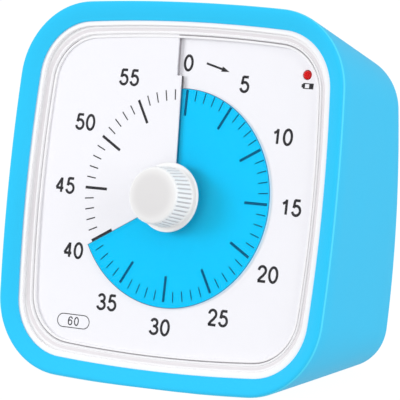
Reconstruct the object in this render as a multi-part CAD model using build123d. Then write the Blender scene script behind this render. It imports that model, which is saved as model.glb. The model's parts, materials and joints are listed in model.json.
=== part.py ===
from build123d import *
import math
import os

# Visual countdown timer, in millimetres.
# Every piece is modelled lying on its back: x to the right, y up the dial and z towards the viewer,
# with the shaft's axis at x = y = 0 and the dial's face at z = 0 just right of its slit. The last section stands the timer on its base.
# The rear face isn't parallel to the dial: it is almost upright when the timer stands. What is fixed to
# it is modelled in the rear frame, where z is the height in front of the rear face.

# ---- Outer body: a square block with rounded corners that tapers to the back
front_half = 44.6            # half width at the middle of a side, at the front edge
rear_half = 37.0
front_corner = 18.9
rear_corner = 11.4
body_lift = 0.43             # the middle of every square outline lies this far above the shaft's axis
side_bulge = 1.9             # how far the middle of a side stands out from its ends
front_z = 4.5
body_depth = 44.05           # along the knob's axis
rear_tilt = 7.8              # of the rear face against the dial, in degrees
front_edge_round = 1.0
rear_edge_round = 2.0
rear_margin = 10.0           # the block is made this much longer, then cut at the rear face
base_flat = 0.2              # cut off the bulge of the lower side, so that it stands flat

# ---- Silicone sleeve
sleeve_wall = 2.4
lip_half = 40.15             # front opening
lip_corner = 13.8
lip_inner_z = 3.3            # the lip slopes down to this at its inner edge
lip_underside_z = 2.85
rear_lip_half = 32.7
rear_lip_corner = 10.1
rear_lip_thickness = 1.15
sleeve_gap = 0.05            # between the sleeve and the case

# ---- Case
case_wall = 2.0
bezel_front_z = 2.8
bezel_back_z = -1.5
split_height = 18.0          # of the joint between middle shell and rear cover, above the rear face
bezel_slope_half = 38.4      # where the slope below the lens starts
window_half = 36.4           # foot of the slope, at the dial
window_corner = 11.0
slope_foot_z = 1.45

# ---- Lens
lens_half = 38.9
lens_corner = 12.8
lens_back_z = 1.95
lens_thickness = 0.8
lens_hole_radius = 5.6
lens_edge_gap = 0.1

# ---- Dial and disc, both wound as one turn of a screw about the shaft
screw_pitch = 1.2            # rise of one turn, and of the slit's raised edge
dial_half = 37.2
dial_corner = 11.7
dial_thickness = 0.4
dial_hole_radius = 4.7
dial_seat_gap = 0.05
slit_angle = -2.1            # of the slit, clockwise from 12 o'clock
slit_jog = 1.25              # the slit's outer end steps to the left by this
slit_jog_y = 28.2
film_radius = 25.35
film_thickness = 0.2
film_gap = 0.3               # between the dial's face and the film
minutes_set = 40.14
minutes_per_turn = 60.0
hub_radius = 4.2
hub_height = 1.7
hub_low_z = -0.3

# ---- Knob and shaft
flange_radius = 8.0
flange_back_z = 2.9
flange_thickness = 0.95
flange_edge_round = 0.3
knob_base_radius = 7.05
knob_top_radius = 6.45
knob_top_z = 10.7
knob_edge_round = 1.1
flute_count = 40
flute_start = 1.2            # of the flutes, above the flange
flute_radius = 0.42
flute_depth = 0.2
neck_radius = 4.6
neck_back_z = 2.3
shaft_radius = 2.0
shaft_flat = 1.6             # distance of the shaft's flat from its axis
shaft_front_z = 8.4
shaft_fit = 0.06             # radial clearance of the running fits on the shaft
knob_fit = 0.02

# ---- Chassis plate behind the dial
chassis_thickness = 1.8
chassis_edge_gap = 0.1
chassis_screw_x = 33.5
chassis_screw_y = 12.0
chassis_boss_radius = 2.7
chassis_boss_length = 8.0
chassis_screw_radius = 1.0
chassis_head_radius = 1.9
chassis_screw_length = 7.0

# ---- Low-battery light, seen through a hole in the dial
light_x = 31.65
light_y = 29.95
light_radius = 1.05
light_front_z = 0.75
light_hole_gap = 0.1
light_flange_radius = 1.45
light_flange_thickness = 0.6
light_board_width = 8.0
light_board_height = 6.0
light_board_thickness = 1.0

# ---- Movement
movement_width = 52.0
movement_height = 46.0
movement_corner = 4.0
movement_depth = 15.4
movement_wall = 1.2
ear_x = 29.4
ear_radius = 3.0
ear_thickness = 1.6
ear_standoff = 3.2
ear_screw_radius = 1.0
ear_head_radius = 1.9

gear_module = 0.5
gear_thickness = 1.2
centre_teeth = 60
intermediate_pinion_teeth = 12
intermediate_wheel_teeth = 36
rotor_pinion_teeth = 10
mesh_gap = 0.05              # added to each gear pair's centre distance
centre_wheel_z = -7.2        # front face of each wheel
intermediate_wheel_z = -10.4
intermediate_angle = -35.0   # direction from the shaft to the intermediate wheel
rotor_angle = 210.0          # direction from the intermediate wheel to the rotor
pivot_radius = 0.6
pivot_fit = 0.05
arbor_radius = 1.1
rotor_magnet_radius = 2.9
rotor_magnet_thickness = 2.2
rotor_magnet_z = -13.2
rotor_air_gap = 0.5
clutch_radius = 4.4
clutch_spring_thickness = 0.3
stator_thickness = 1.0
coil_length = 7.4
coil_size = 6.0
coil_x = -18.0
bobbin_wall = 0.4
core_width = 3.4
stator_leg = 2.4

# ---- Rear cover, screws and battery
screw_x = 20.0
screw_y = 30.0
post_radius = 3.1
post_length = 8.5
rib_thickness = 1.6
case_screw_radius = 1.25
case_head_radius = 2.4
case_head_height = 1.6
case_screw_bite = 6.5
case_head_depth = 1.1        # how far the head lies below the rear face
back_wall = 2.2

battery_radius = 7.25
battery_length = 49.2
battery_nub_radius = 2.75
battery_nub_length = 1.0
battery_y = -13.5
battery_skin = 0.5           # from the battery to the inside of its door
contact_thickness = 0.4
contact_width = 9.0
spring_depth = 2.4
bay_wall = 1.2
bay_side_gap = 0.6           # between the battery and the long walls of its bay

door_width = 50.0
door_height = 18.0
door_thickness = 1.8
door_corner = 1.2
door_gap = 0.3
door_catch_width = 9.0
door_catch_thickness = 1.0
door_catch_length = 1.4
door_pin_radius = 0.6
door_pin_length = 1.8
scoop_width = 11.0
scoop_height = 3.0
scoop_depth = 1.0

# ---- Circuit board with its switches
board_width = 52.0
board_low_y = -4.0
board_high_y = 25.5
board_thickness = 1.2
board_post_radius = 2.2
board_post_x = 22.5
board_post_y = 5.0
switch_y = 14.0
switch_spacing = 28.0
switch_body_width = 13.0
switch_body_height = 6.4
switch_body_depth = 3.4
switch_body_gap = 0.3        # from the switch body to the rear cover's inside
cap_width = 4.6
cap_height = 3.4
cap_proud = 0.9
cap_gap = 0.25
stem_width = 2.2
stem_height = 1.8
volume_travel = 2.5          # to each side of its middle position
alert_travel = 3.0
chip_size = 7.0
chip_height = 1.4
crystal_length = 8.0
crystal_radius = 1.5
buzzer_radius = 6.0
buzzer_height = 5.0
buzzer_port_radius = 1.0

# ---- What follows from them
rear_z = front_z - body_depth
taper_angle = math.degrees(math.atan2(front_half - rear_half, body_depth))
taper = math.tan(math.radians(taper_angle))
rear_slope = math.tan(math.radians(rear_tilt))
rear_centre_y = rear_half * taper * rear_slope
rear_frame = Pos(0, rear_centre_y, rear_z + rear_centre_y * rear_slope) * Rot(X=rear_tilt)
rear_axis = Axis((0, 0, rear_z), (0, -rear_slope, 1))
set_angle = 360.0 * minutes_set / minutes_per_turn
chassis_front_z = bezel_back_z
chassis_back_z = chassis_front_z - chassis_thickness
movement_front_z = chassis_back_z
movement_back_z = movement_front_z - movement_depth
# heights in the rear frame
case_back_z = rear_lip_thickness
back_inside_z = case_back_z + back_wall
switch_back_z = back_inside_z + switch_body_gap
board_back_z = switch_back_z + switch_body_depth
board_front_z = board_back_z + board_thickness
battery_z = case_back_z + door_thickness + battery_skin + battery_radius
door_pivot_y = battery_y - door_height / 2 + door_thickness / 2
door_pivot_z = case_back_z + door_thickness / 2


def height_share(z):
    return (front_z - z) / body_depth


def body_half(z, inset=0.0):
    return front_half + (rear_half - front_half) * height_share(z) - inset


def body_corner(z, inset=0.0):
    return front_corner + (rear_corner - front_corner) * height_share(z) - inset


def bulged_square(half, corner):
    """A rounded square with slightly bulging sides. half is measured from its middle to a side's."""
    end = half - side_bulge
    sides = [
        ThreePointArc((end, end), (0, half), (-end, end)),
        ThreePointArc((-end, end), (-half, 0), (-end, -end)),
        ThreePointArc((-end, -end), (0, -half), (end, -end)),
        ThreePointArc((end, -end), (half, 0), (end, end)),
    ]
    outline = make_face(sides)
    return Pos(0, body_lift) * fillet(outline.vertices(), corner)


def body_section(z, inset=0.0):
    """The block's outline at one height."""
    return Pos(0, 0, z) * bulged_square(body_half(z, inset), body_corner(z, inset))


def body_block(low_z, high_z, inset=0.0):
    return loft([body_section(low_z, inset), body_section(high_z, inset)], ruled=True)


def bulged_block(half, corner, low_z, high_z):
    """An upright prism on a bulged square."""
    return extrude(Pos(0, 0, low_z) * bulged_square(half, corner), high_z - low_z)


def behind(height):
    """All that lies behind a plane parallel to the rear face, at a height in front of it."""
    depth = body_depth
    return rear_frame * slab(0, 0, 4 * front_half, 4 * front_half, height - depth, height)


def post(x, y, radius, low_z, high_z):
    return Pos(x, y, (low_z + high_z) / 2) * Cylinder(radius, high_z - low_z)


def slab(x, y, width, height, low_z, high_z):
    return Pos(x, y, (low_z + high_z) / 2) * Box(width, height, high_z - low_z)


def mirrored_places(x, y):
    return [(sx * x, sy * y) for sx in (-1, 1) for sy in (-1, 1)]


def screw_sheet(inner, outer, start_angle, sweep, low_z, thickness):
    """A plate wound clockwise about the z axis that rises by screw_pitch in a turn.

    start_angle is clockwise from 12 o'clock, and low_z is the lower face's height there.
    """
    rise = screw_pitch * sweep / 360.0
    rims = [
        Edge.make_helix(screw_pitch, rise, radius, lefthand=True).edge()
        for radius in (inner, outer)
    ]
    face = Face.make_surface_from_curves(*rims)
    sheet = Solid(extrude(face, amount=thickness, dir=(0, 0, 1)).wrapped)
    return Pos(0, 0, low_z) * Rot(Z=90 - start_angle) * sheet


def make_sleeve():
    outside = body_block(rear_z - rear_margin, front_z) - behind(0)
    outside = fillet(outside.edges().group_by(Axis.Z)[-1], front_edge_round)
    outside = fillet(outside.edges().group_by(rear_axis)[0], rear_edge_round)
    # the lip's front face slopes inwards
    slope_top = bulged_square(front_half - front_edge_round, front_corner - front_edge_round)
    slope_foot = bulged_square(lip_half, lip_corner)
    outside -= loft([Pos(0, 0, lip_inner_z) * slope_foot, Pos(0, 0, front_z) * slope_top], ruled=True)
    outside -= bulged_block(lip_half, lip_corner, lip_underside_z - 1, front_z)
    inside = body_block(rear_z - rear_margin, lip_underside_z, sleeve_wall)
    inside -= behind(case_back_z - sleeve_gap)
    rear_opening = rear_frame * bulged_block(rear_lip_half, rear_lip_corner, -1, case_back_z)
    sleeve = outside - inside - rear_opening
    # the lower side is cut flat along its slope, so that the timer stands
    cutter = slab(0, -front_half / 2, 4 * front_half, front_half, -2 * body_depth, body_depth)
    return sleeve - Pos(0, body_lift + base_flat - body_half(0), 0) * Rot(X=taper_angle) * cutter


def case_shape(low_z, high_z):
    return body_block(low_z, high_z, sleeve_wall + sleeve_gap)


def case_cavity(low_z, high_z):
    return body_block(low_z, high_z, sleeve_wall + sleeve_gap + case_wall)


def make_bezel():
    bezel = case_shape(bezel_back_z, bezel_front_z)
    # recess for the lens, slope below it, and window down to the dial
    bezel -= bulged_block(lens_half + lens_edge_gap, lens_corner, lens_back_z, bezel_front_z + 1)
    slope_top = bulged_square(bezel_slope_half, window_corner + bezel_slope_half - window_half)
    slope_foot = bulged_square(window_half, window_corner)
    bezel -= loft([Pos(0, 0, slope_foot_z) * slope_foot, Pos(0, 0, lens_back_z) * slope_top], ruled=True)
    bezel -= bulged_block(window_half, window_corner, bezel_back_z - 1, slope_foot_z)
    # pocket that seats the dial
    return bezel - bulged_block(dial_half, dial_corner, bezel_back_z - 1, screw_pitch + dial_seat_gap)


def make_lens():
    lens = bulged_block(lens_half, lens_corner, lens_back_z, lens_back_z + lens_thickness)
    return lens - post(0, 0, lens_hole_radius, lens_back_z - 1, lens_back_z + lens_thickness + 1)


def make_dial():
    dial = screw_sheet(dial_hole_radius, 1.5 * dial_half, slit_angle, 360, -dial_thickness, dial_thickness)
    dial &= bulged_block(dial_half, dial_corner, -5, 5)
    # the raised edge is notched at the slit's outer end, and the lower edge reaches under it
    top_y = dial_half + body_lift
    notch = slab(-slit_jog / 2, (slit_jog_y + top_y + 1) / 2, slit_jog, top_y + 1 - slit_jog_y,
                 screw_pitch - dial_thickness - 0.1, screw_pitch + 0.1)
    tongue = slab(-slit_jog / 2, (slit_jog_y + top_y + 1) / 2, slit_jog, top_y + 1 - slit_jog_y,
                  -dial_thickness, 0)
    dial -= Rot(Z=-slit_angle) * notch
    dial += Rot(Z=-slit_angle) * tongue & bulged_block(dial_half, dial_corner, -5, 5)
    return dial - post(light_x, light_y, light_radius + light_hole_gap, -5, 5)


def make_film():
    start = set_angle - 360.0
    low_z = film_gap + screw_pitch * (start - slit_angle) / 360.0
    return screw_sheet(hub_radius, film_radius, start, 360, low_z, film_thickness)


def shaft_section(clearance=0.0):
    """A round shaft with one flat, that keys what slides on it."""
    radius = shaft_radius + clearance
    flat = shaft_flat + clearance
    return Circle(radius) - Pos(0, flat + radius) * Rectangle(4 * radius, 2 * radius)


def make_hub():
    hub = post(0, 0, hub_radius, hub_low_z, hub_low_z + hub_height)
    return hub - extrude(Pos(0, 0, hub_low_z - 1) * shaft_section(shaft_fit), hub_height + 2)


def make_knob():
    flange_front_z = flange_back_z + flange_thickness
    profile = Polyline([
        (0, neck_back_z), (neck_radius, neck_back_z), (neck_radius, flange_back_z),
        (flange_radius, flange_back_z), (flange_radius, flange_front_z),
        (knob_base_radius, flange_front_z), (knob_top_radius, knob_top_z),
        (0, knob_top_z), (0, neck_back_z),
    ])
    knob = revolve(Plane.XZ * make_face(profile), Axis.Z)
    flange_edges = knob.edges().filter_by(GeomType.CIRCLE)
    flange_edges = flange_edges.filter_by(lambda edge: abs(edge.radius - flange_radius) < 0.01)
    knob = fillet(flange_edges, flange_edge_round)
    top_edge = knob.edges().filter_by(GeomType.CIRCLE).sort_by(Axis.Z)[-1]
    knob = fillet(top_edge, knob_edge_round)
    # shallow flutes that follow the knob's draft
    draft = math.degrees(math.atan2(knob_base_radius - knob_top_radius, knob_top_z - flange_front_z))
    flute_length = 2 * (knob_top_z - flange_front_z)
    flute_x = knob_base_radius - flute_depth + flute_radius
    flute = Rot(Y=-draft) * Pos(0, 0, flute_length / 2 + flute_start) * Cylinder(flute_radius, flute_length)
    flute = Pos(flute_x, 0, flange_front_z) * flute
    for index in range(flute_count):
        knob -= Rot(Z=360.0 * index / flute_count) * flute
    bore = extrude(Pos(0, 0, neck_back_z - 1) * shaft_section(knob_fit), shaft_front_z - neck_back_z + 1)
    return knob - bore


def make_shaft():
    low_z = movement_back_z - 0.5
    return extrude(Pos(0, 0, low_z) * shaft_section(), shaft_front_z - low_z)


def gear_outline(teeth):
    """A spur gear's outline with thin straight-sided teeth, first tooth centred on the x axis."""
    pitch_radius = gear_module * teeth / 2
    tip = pitch_radius + 0.9 * gear_module
    root = pitch_radius - 1.2 * gear_module
    spacing = 2 * math.pi / teeth
    corners = [(root, 0.30), (tip, 0.11), (tip, -0.11), (root, -0.30)]
    points = []
    for tooth in range(teeth):
        for radius, share in corners:
            angle = spacing * (tooth - share)
            points.append((radius * math.cos(angle), radius * math.sin(angle)))
    return make_face(Polyline(points, close=True))


def gear(teeth, front_z_of_gear, thickness=gear_thickness):
    return extrude(Pos(0, 0, front_z_of_gear - thickness) * gear_outline(teeth), thickness)


def at_angle(distance, angle):
    return distance * math.cos(math.radians(angle)), distance * math.sin(math.radians(angle))


def gear_distance(teeth_a, teeth_b):
    return gear_module * (teeth_a + teeth_b) / 2 + mesh_gap


intermediate_x, intermediate_y = at_angle(
    gear_distance(centre_teeth, intermediate_pinion_teeth), intermediate_angle)
rotor_dx, rotor_dy = at_angle(gear_distance(intermediate_wheel_teeth, rotor_pinion_teeth), rotor_angle)
rotor_x = intermediate_x + rotor_dx
rotor_y = intermediate_y + rotor_dy


def meshing_turn(driver_teeth, driver_turn, driven_teeth, direction):
    """How far to turn a driven gear so that its gap meets the driver's tooth on the line of centres."""
    driver_phase = (direction - driver_turn) * driver_teeth / 360.0
    offset = 0.5 - driver_phase
    return direction + 180.0 - offset * 360.0 / driven_teeth


intermediate_turn = meshing_turn(centre_teeth, 0, intermediate_pinion_teeth, intermediate_angle)
rotor_turn = meshing_turn(intermediate_wheel_teeth, intermediate_turn, rotor_pinion_teeth, rotor_angle)


def make_centre_wheel():
    wheel = gear(centre_teeth, centre_wheel_z)
    wheel += post(0, 0, clutch_radius, centre_wheel_z - gear_thickness - 1.5, centre_wheel_z)
    for index in range(5):
        wheel -= post(*at_angle(9.2, 72.0 * index), 3.2, centre_wheel_z - 3, centre_wheel_z + 1)
    bore = extrude(Pos(0, 0, centre_wheel_z - 5) * shaft_section(knob_fit), 10)
    return wheel - bore


def make_clutch_spring():
    """A dished washer that presses the wheel onto the shaft's shoulder."""
    washer = post(0, 0, clutch_radius, centre_wheel_z, centre_wheel_z + clutch_spring_thickness)
    bore = extrude(Pos(0, 0, centre_wheel_z - 5) * shaft_section(knob_fit), 10)
    return washer - bore


def make_intermediate_wheel():
    front_pivot_z = movement_front_z - movement_wall
    back_pivot_z = movement_back_z + movement_wall
    wheel = gear(intermediate_wheel_teeth, intermediate_wheel_z)
    pinion_front_z = centre_wheel_z + 0.4
    wheel += gear(intermediate_pinion_teeth, pinion_front_z, pinion_front_z - intermediate_wheel_z)
    wheel += post(0, 0, arbor_radius, back_pivot_z + 0.2, front_pivot_z - 0.2)
    wheel += post(0, 0, pivot_radius, movement_back_z + 0.4, movement_front_z - 0.4)
    return Pos(intermediate_x, intermediate_y) * Rot(Z=intermediate_turn) * wheel


def make_rotor_pinion():
    back_pivot_z = movement_back_z + movement_wall
    pinion_front_z = intermediate_wheel_z + 0.4
    pinion = gear(rotor_pinion_teeth, pinion_front_z, 2.4)
    pinion += post(0, 0, arbor_radius, back_pivot_z + 0.2, pinion_front_z)
    pinion += post(0, 0, pivot_radius, movement_back_z + 0.4, movement_front_z - 0.4)
    return Pos(rotor_x, rotor_y) * Rot(Z=rotor_turn) * pinion


def make_rotor_magnet():
    magnet = post(0, 0, rotor_magnet_radius, rotor_magnet_z - rotor_magnet_thickness, rotor_magnet_z)
    magnet -= post(0, 0, arbor_radius, rotor_magnet_z - 5, rotor_magnet_z + 5)
    return Pos(rotor_x, rotor_y) * magnet


def movement_box(low_z, high_z, inset=0.0):
    outline = RectangleRounded(movement_width - 2 * inset, movement_height - 2 * inset,
                               movement_corner - inset)
    return extrude(Pos(0, 0, low_z) * outline, high_z - low_z)


def pivot_holes(low_z, high_z):
    holes = post(intermediate_x, intermediate_y, pivot_radius + pivot_fit, low_z, high_z)
    holes += post(rotor_x, rotor_y, pivot_radius + pivot_fit, low_z, high_z)
    return holes


def make_movement_front():
    inner_front_z = movement_front_z - movement_wall
    lid_z = movement_back_z + movement_wall
    case = movement_box(lid_z, movement_front_z)
    for side in (-1, 1):
        ear_front_z = movement_front_z - ear_standoff
        case += post(side * ear_x, 0, ear_radius, ear_front_z - ear_thickness, ear_front_z)
        case += slab(side * (ear_x - 2), 0, 4, 2 * ear_radius, ear_front_z - ear_thickness, ear_front_z)
        case -= post(side * ear_x, 0, ear_screw_radius, ear_front_z - 5, ear_front_z + 1)
    case -= movement_box(lid_z - 1, inner_front_z, movement_wall)
    case -= post(0, 0, shaft_radius + shaft_fit, movement_front_z - 5, movement_front_z + 1)
    return case - pivot_holes(movement_front_z - movement_wall - 0.1, movement_front_z - 0.2)


def make_movement_back():
    lid_z = movement_back_z + movement_wall
    lid = movement_box(movement_back_z, lid_z)
    lid -= post(0, 0, shaft_radius + shaft_fit, movement_back_z - 1, lid_z + 1)
    # two posts carry the stator
    for x, y in stator_posts():
        lid += post(x, y, 1.3, lid_z, rotor_magnet_z - rotor_magnet_thickness / 2 - stator_thickness / 2)
    return lid - pivot_holes(movement_back_z + 0.2, lid_z + 0.1)


def stator_span():
    """The stator plate's left, right, low and high edges."""
    left = coil_x - core_width / 2
    right = rotor_x + rotor_magnet_radius + rotor_air_gap + 1.8
    low = rotor_y - rotor_magnet_radius - rotor_air_gap - 1.2
    high = low + coil_length + 2 * stator_leg
    return left, right, low, high


def stator_posts():
    left, right, low, high = stator_span()
    return [(left + 6.0, low + 1.2), (left + 6.0, high - 1.2)]


def make_stator():
    left, right, low, high = stator_span()
    middle_z = rotor_magnet_z - rotor_magnet_thickness / 2
    low_z = middle_z - stator_thickness / 2
    high_z = low_z + stator_thickness
    plate = slab((left + right) / 2, (low + high) / 2, right - left, high - low, low_z, high_z)
    window_left = left + core_width
    window_right = rotor_x - rotor_magnet_radius - rotor_air_gap - 1.4
    plate -= slab((window_left + window_right) / 2, (low + high) / 2, window_right - window_left,
                  coil_length, low_z - 1, high_z + 1)
    return plate - post(rotor_x, rotor_y, rotor_magnet_radius + rotor_air_gap, low_z - 1, high_z + 1)


def coil_middle():
    left, right, low, high = stator_span()
    return coil_x, (low + high) / 2, rotor_magnet_z - rotor_magnet_thickness / 2


def make_bobbin():
    x, y, z = coil_middle()
    inner_x = core_width + 0.2
    inner_z = stator_thickness + 0.2
    body = Pos(x, y, z) * Box(inner_x + 2 * bobbin_wall, coil_length - 0.2, inner_z + 2 * bobbin_wall)
    for side in (-1, 1):
        flange_y = y + side * (coil_length / 2 - 0.1 - bobbin_wall / 2)
        body += Pos(x, flange_y, z) * Box(coil_size, bobbin_wall, coil_size)
    return body - Pos(x, y, z) * Box(inner_x, coil_length + 2, inner_z)


def make_winding():
    x, y, z = coil_middle()
    length = coil_length - 0.2 - 2 * bobbin_wall
    size = coil_size - 0.5
    outline = RectangleRounded(size, size, 1.2)
    winding = Pos(x, y, z) * Rot(X=90) * extrude(Pos(0, 0, -length / 2) * outline, length)
    return winding - Pos(x, y, z) * Box(core_width + 0.2 + 2 * bobbin_wall, length + 2,
                                        stator_thickness + 0.2 + 2 * bobbin_wall)


def make_chassis():
    plate = body_section(chassis_back_z, sleeve_wall + sleeve_gap + case_wall + chassis_edge_gap)
    plate = extrude(plate, chassis_thickness)
    plate -= post(0, 0, shaft_radius + 1.5, chassis_back_z - 1, chassis_front_z + 1)
    for side in (-1, 1):
        plate += post(side * ear_x, 0, ear_radius, chassis_back_z - ear_standoff, chassis_back_z)
        plate -= post(side * ear_x, 0, ear_screw_radius, chassis_back_z - 5, chassis_front_z - 0.3)
    for x, y in mirrored_places(chassis_screw_x, chassis_screw_y):
        plate -= countersunk(x, y)
    return plate - post(light_x, light_y, light_radius + light_hole_gap, chassis_back_z - 1, 5)


def countersunk(x, y):
    """A countersunk screw's head and shank, flush with the chassis plate's front."""
    head_depth = chassis_head_radius - chassis_screw_radius
    cone = Cone(chassis_screw_radius, chassis_head_radius, head_depth)
    screw = Pos(x, y, chassis_front_z - head_depth / 2) * cone
    return screw + post(x, y, chassis_screw_radius, chassis_front_z - chassis_screw_length,
                        chassis_front_z - head_depth / 2)


def cross_slot(x, y, z, direction, size):
    """A cross recess in a screw's head. direction is 1 for a head that faces the viewer, else -1."""
    depth = 0.5
    middle_z = z - direction * depth / 2
    slot = Pos(x, y, middle_z) * Box(size, size / 4, depth)
    return slot + Pos(x, y, middle_z) * Box(size / 4, size, depth)


def make_chassis_screws():
    return Compound([
        countersunk(x, y) - cross_slot(x, y, chassis_front_z, 1, 2.0)
        for x, y in mirrored_places(chassis_screw_x, chassis_screw_y)
    ])


def make_movement_screws():
    seat_z = movement_front_z - ear_standoff - ear_thickness
    screws = []
    for side in (-1, 1):
        x = side * ear_x
        screw = post(x, 0, ear_head_radius, seat_z - 1.2, seat_z)
        screw += post(x, 0, ear_screw_radius, seat_z - 0.6, chassis_front_z - 0.5)
        screws.append(screw - cross_slot(x, 0, seat_z - 1.2, -1, 2.0))
    return Compound(screws)


def ribbed_post(x, y, radius, low_z, high_z, wall_x=0, wall_y=0):
    """A boss tied to the nearest wall by a rib. wall_x or wall_y gives the wall's direction."""
    boss = post(x, y, radius, low_z, high_z)
    reach = 12.0
    if wall_x:
        boss += slab(x + wall_x * reach / 2, y, reach, rib_thickness, low_z, high_z)
    if wall_y:
        boss += slab(x, y + wall_y * reach / 2, rib_thickness, reach, low_z, high_z)
    return boss


def make_middle_shell():
    shape = case_shape(rear_z - rear_margin, bezel_back_z) - behind(split_height)
    shell = shape - case_cavity(rear_z - rear_margin, bezel_back_z + 1)
    for x, y in mirrored_places(chassis_screw_x, chassis_screw_y):
        shell += shape & ribbed_post(x, y, chassis_boss_radius, chassis_back_z - chassis_boss_length,
                                     chassis_back_z, wall_x=math.copysign(1, x))
        shell -= post(x, y, chassis_screw_radius, chassis_front_z - chassis_screw_length, chassis_front_z)
    for x, y in mirrored_places(screw_x, screw_y):
        shell += shape & rear_frame * ribbed_post(x, y, post_radius, split_height, split_height + post_length,
                                                  wall_y=math.copysign(1, y))
        shell -= rear_frame * post(x, y, case_screw_radius, split_height - 1, split_height + case_screw_bite)
    return shell


def door_pins(radius, length):
    """The two pins that the door tilts on, or the holes that they turn in."""
    pins = [
        Pos(side * (door_width + length) / 2, door_pivot_y, door_pivot_z) * Rot(Y=90) * Cylinder(radius, length)
        for side in (-1, 1)
    ]
    return pins[0] + pins[1]


def make_door():
    """The battery door, rounded along its lower edge, where it tilts."""
    door = slab(0, battery_y, door_width, door_height, case_back_z, case_back_z + door_thickness)
    sides = door.edges().filter_by(Axis.Z)
    door = fillet(sides.sort_by(Axis.Y)[-2:], door_corner)
    lower = door.edges().filter_by(Axis.X).group_by(Axis.Y)[0]
    door = fillet(lower, door_thickness / 2 - 0.01)
    door += door_pins(door_pin_radius, door_pin_length)
    # catch inside the bay's upper wall, and grip ribs on the outside
    catch_high_y = battery_y + battery_radius + bay_side_gap - door_gap
    door += slab(0, catch_high_y - door_catch_thickness / 2, door_catch_width, door_catch_thickness,
                 case_back_z + door_thickness - 0.1, case_back_z + door_thickness + door_catch_length)
    for index in range(3):
        y = battery_y + door_height / 2 - 3.0 - 1.6 * index
        door += slab(0, y, 9.0, 0.7, case_back_z - 0.3, case_back_z + 0.2)
    return door


def make_rear_cover():
    """Made in the rear frame, like all that it carries."""
    outer = rear_frame.inverse() * case_shape(rear_z - rear_margin, bezel_back_z)
    inner = rear_frame.inverse() * case_cavity(rear_z - rear_margin, bezel_back_z + 1)
    wide = 4 * front_half
    shape = outer & slab(0, 0, wide, wide, case_back_z, split_height)
    cover = shape - (inner & slab(0, 0, wide, wide, back_inside_z, split_height + 1))
    # battery bay: four walls that stand on the rear wall
    bay_width = battery_length + 2 * (contact_thickness + spring_depth) + 2 * bay_wall
    bay_height = 2 * (battery_radius + bay_side_gap + bay_wall)
    bay = slab(0, battery_y, bay_width, bay_height, back_inside_z - 0.1, battery_z + 2.0)
    bay -= slab(0, battery_y, bay_width - 2 * bay_wall, bay_height - 2 * bay_wall,
                back_inside_z - 1, battery_z + 3)
    cover += bay & shape
    for x, y in mirrored_places(screw_x, screw_y):
        cover += ribbed_post(x, y, post_radius, back_inside_z - 0.1, split_height,
                             wall_y=math.copysign(1, y)) & shape
    for side in (-1, 1):
        cover += post(side * board_post_x, board_post_y, board_post_radius, back_inside_z - 0.1, board_back_z)
        cover -= post(side * board_post_x, board_post_y, ear_screw_radius, back_inside_z, board_back_z + 1)
    for x, y in mirrored_places(screw_x, screw_y):
        cover -= post(x, y, case_screw_radius + 0.15, case_back_z - 1, split_height + 1)
        cover -= post(x, y, case_head_radius + 0.2, case_back_z - 1,
                      case_back_z + case_head_depth + case_head_height)
    # door opening, with a scoop for a fingertip above it
    cover -= slab(0, battery_y, door_width + 2 * door_gap, door_height + 2 * door_gap,
                  case_back_z - 1, back_inside_z + 0.5)
    cover -= door_pins(door_pin_radius + shaft_fit, door_pin_length + door_gap)
    scoop_y = battery_y + door_height / 2 + door_gap + scoop_height / 2
    cover -= slab(0, scoop_y, scoop_width, scoop_height, case_back_z - 1, case_back_z + scoop_depth)
    # slots for the switch caps, and the holes of the sounder
    for x, travel in switch_places():
        width = cap_width + 2 * (travel + cap_gap)
        cover -= slab(x, switch_y, width, cap_height + 2 * cap_gap, case_back_z - 1, case_back_z + 1.0)
        cover -= slab(x, switch_y, stem_width + 2 * (travel + cap_gap), stem_height + 2 * cap_gap,
                      case_back_z - 1, back_inside_z + 1)
    for index in range(5):
        cover -= post((index - 2) * 3.4, screw_y - 3.5, buzzer_port_radius, case_back_z - 1, back_inside_z + 1)
    return cover


def switch_places():
    """Each switch's middle and its travel to each side of that."""
    return [(-switch_spacing / 2, volume_travel), (switch_spacing / 2, alert_travel / 2)]


def make_cap(x):
    cap = slab(x, switch_y, cap_width, cap_height, case_back_z - cap_proud, case_back_z + 0.75)
    for index in range(3):
        cap -= slab(x + (index - 1) * 1.3, switch_y, 0.5, cap_height + 1,
                    case_back_z - cap_proud - 1, case_back_z - cap_proud + 0.3)
    return cap + slab(x, switch_y, stem_width, stem_height, case_back_z, switch_back_z + 0.7)


def make_switch_body(x, travel):
    body = slab(x, switch_y, switch_body_width, switch_body_height, switch_back_z, board_back_z)
    well = slab(x, switch_y, stem_width + 2 * (travel + cap_gap), stem_height + 2 * cap_gap,
                switch_back_z - 1, switch_back_z + 1.2)
    return body - well


def make_board():
    middle_y = (board_low_y + board_high_y) / 2
    board = slab(0, middle_y, board_width, board_high_y - board_low_y, board_back_z, board_front_z)
    for side in (-1, 1):
        board -= post(side * board_post_x, board_post_y, ear_screw_radius, board_back_z - 1, board_front_z + 1)
    return board


def make_board_screws():
    screws = []
    for side in (-1, 1):
        x = side * board_post_x
        screw = post(x, board_post_y, ear_head_radius, board_front_z, board_front_z + 1.2)
        screw += post(x, board_post_y, ear_screw_radius, back_inside_z, board_front_z + 0.6)
        screws.append(screw - cross_slot(x, board_post_y, board_front_z + 1.2, 1, 2.0))
    return Compound(screws)


def make_chip():
    chip = slab(-6, 6, chip_size, chip_size, board_front_z, board_front_z + chip_height)
    return fillet(chip.edges().filter_by(Axis.Z), 0.4)


def make_crystal():
    middle_z = board_front_z + crystal_radius
    return Pos(6, 2, middle_z) * Rot(Y=90) * Cylinder(crystal_radius, crystal_length)


def make_buzzer():
    can = post(11, 14, buzzer_radius, board_front_z, board_front_z + buzzer_height)
    return can - post(11, 14, buzzer_port_radius, board_front_z + buzzer_height - 1, board_front_z + 9)


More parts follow.
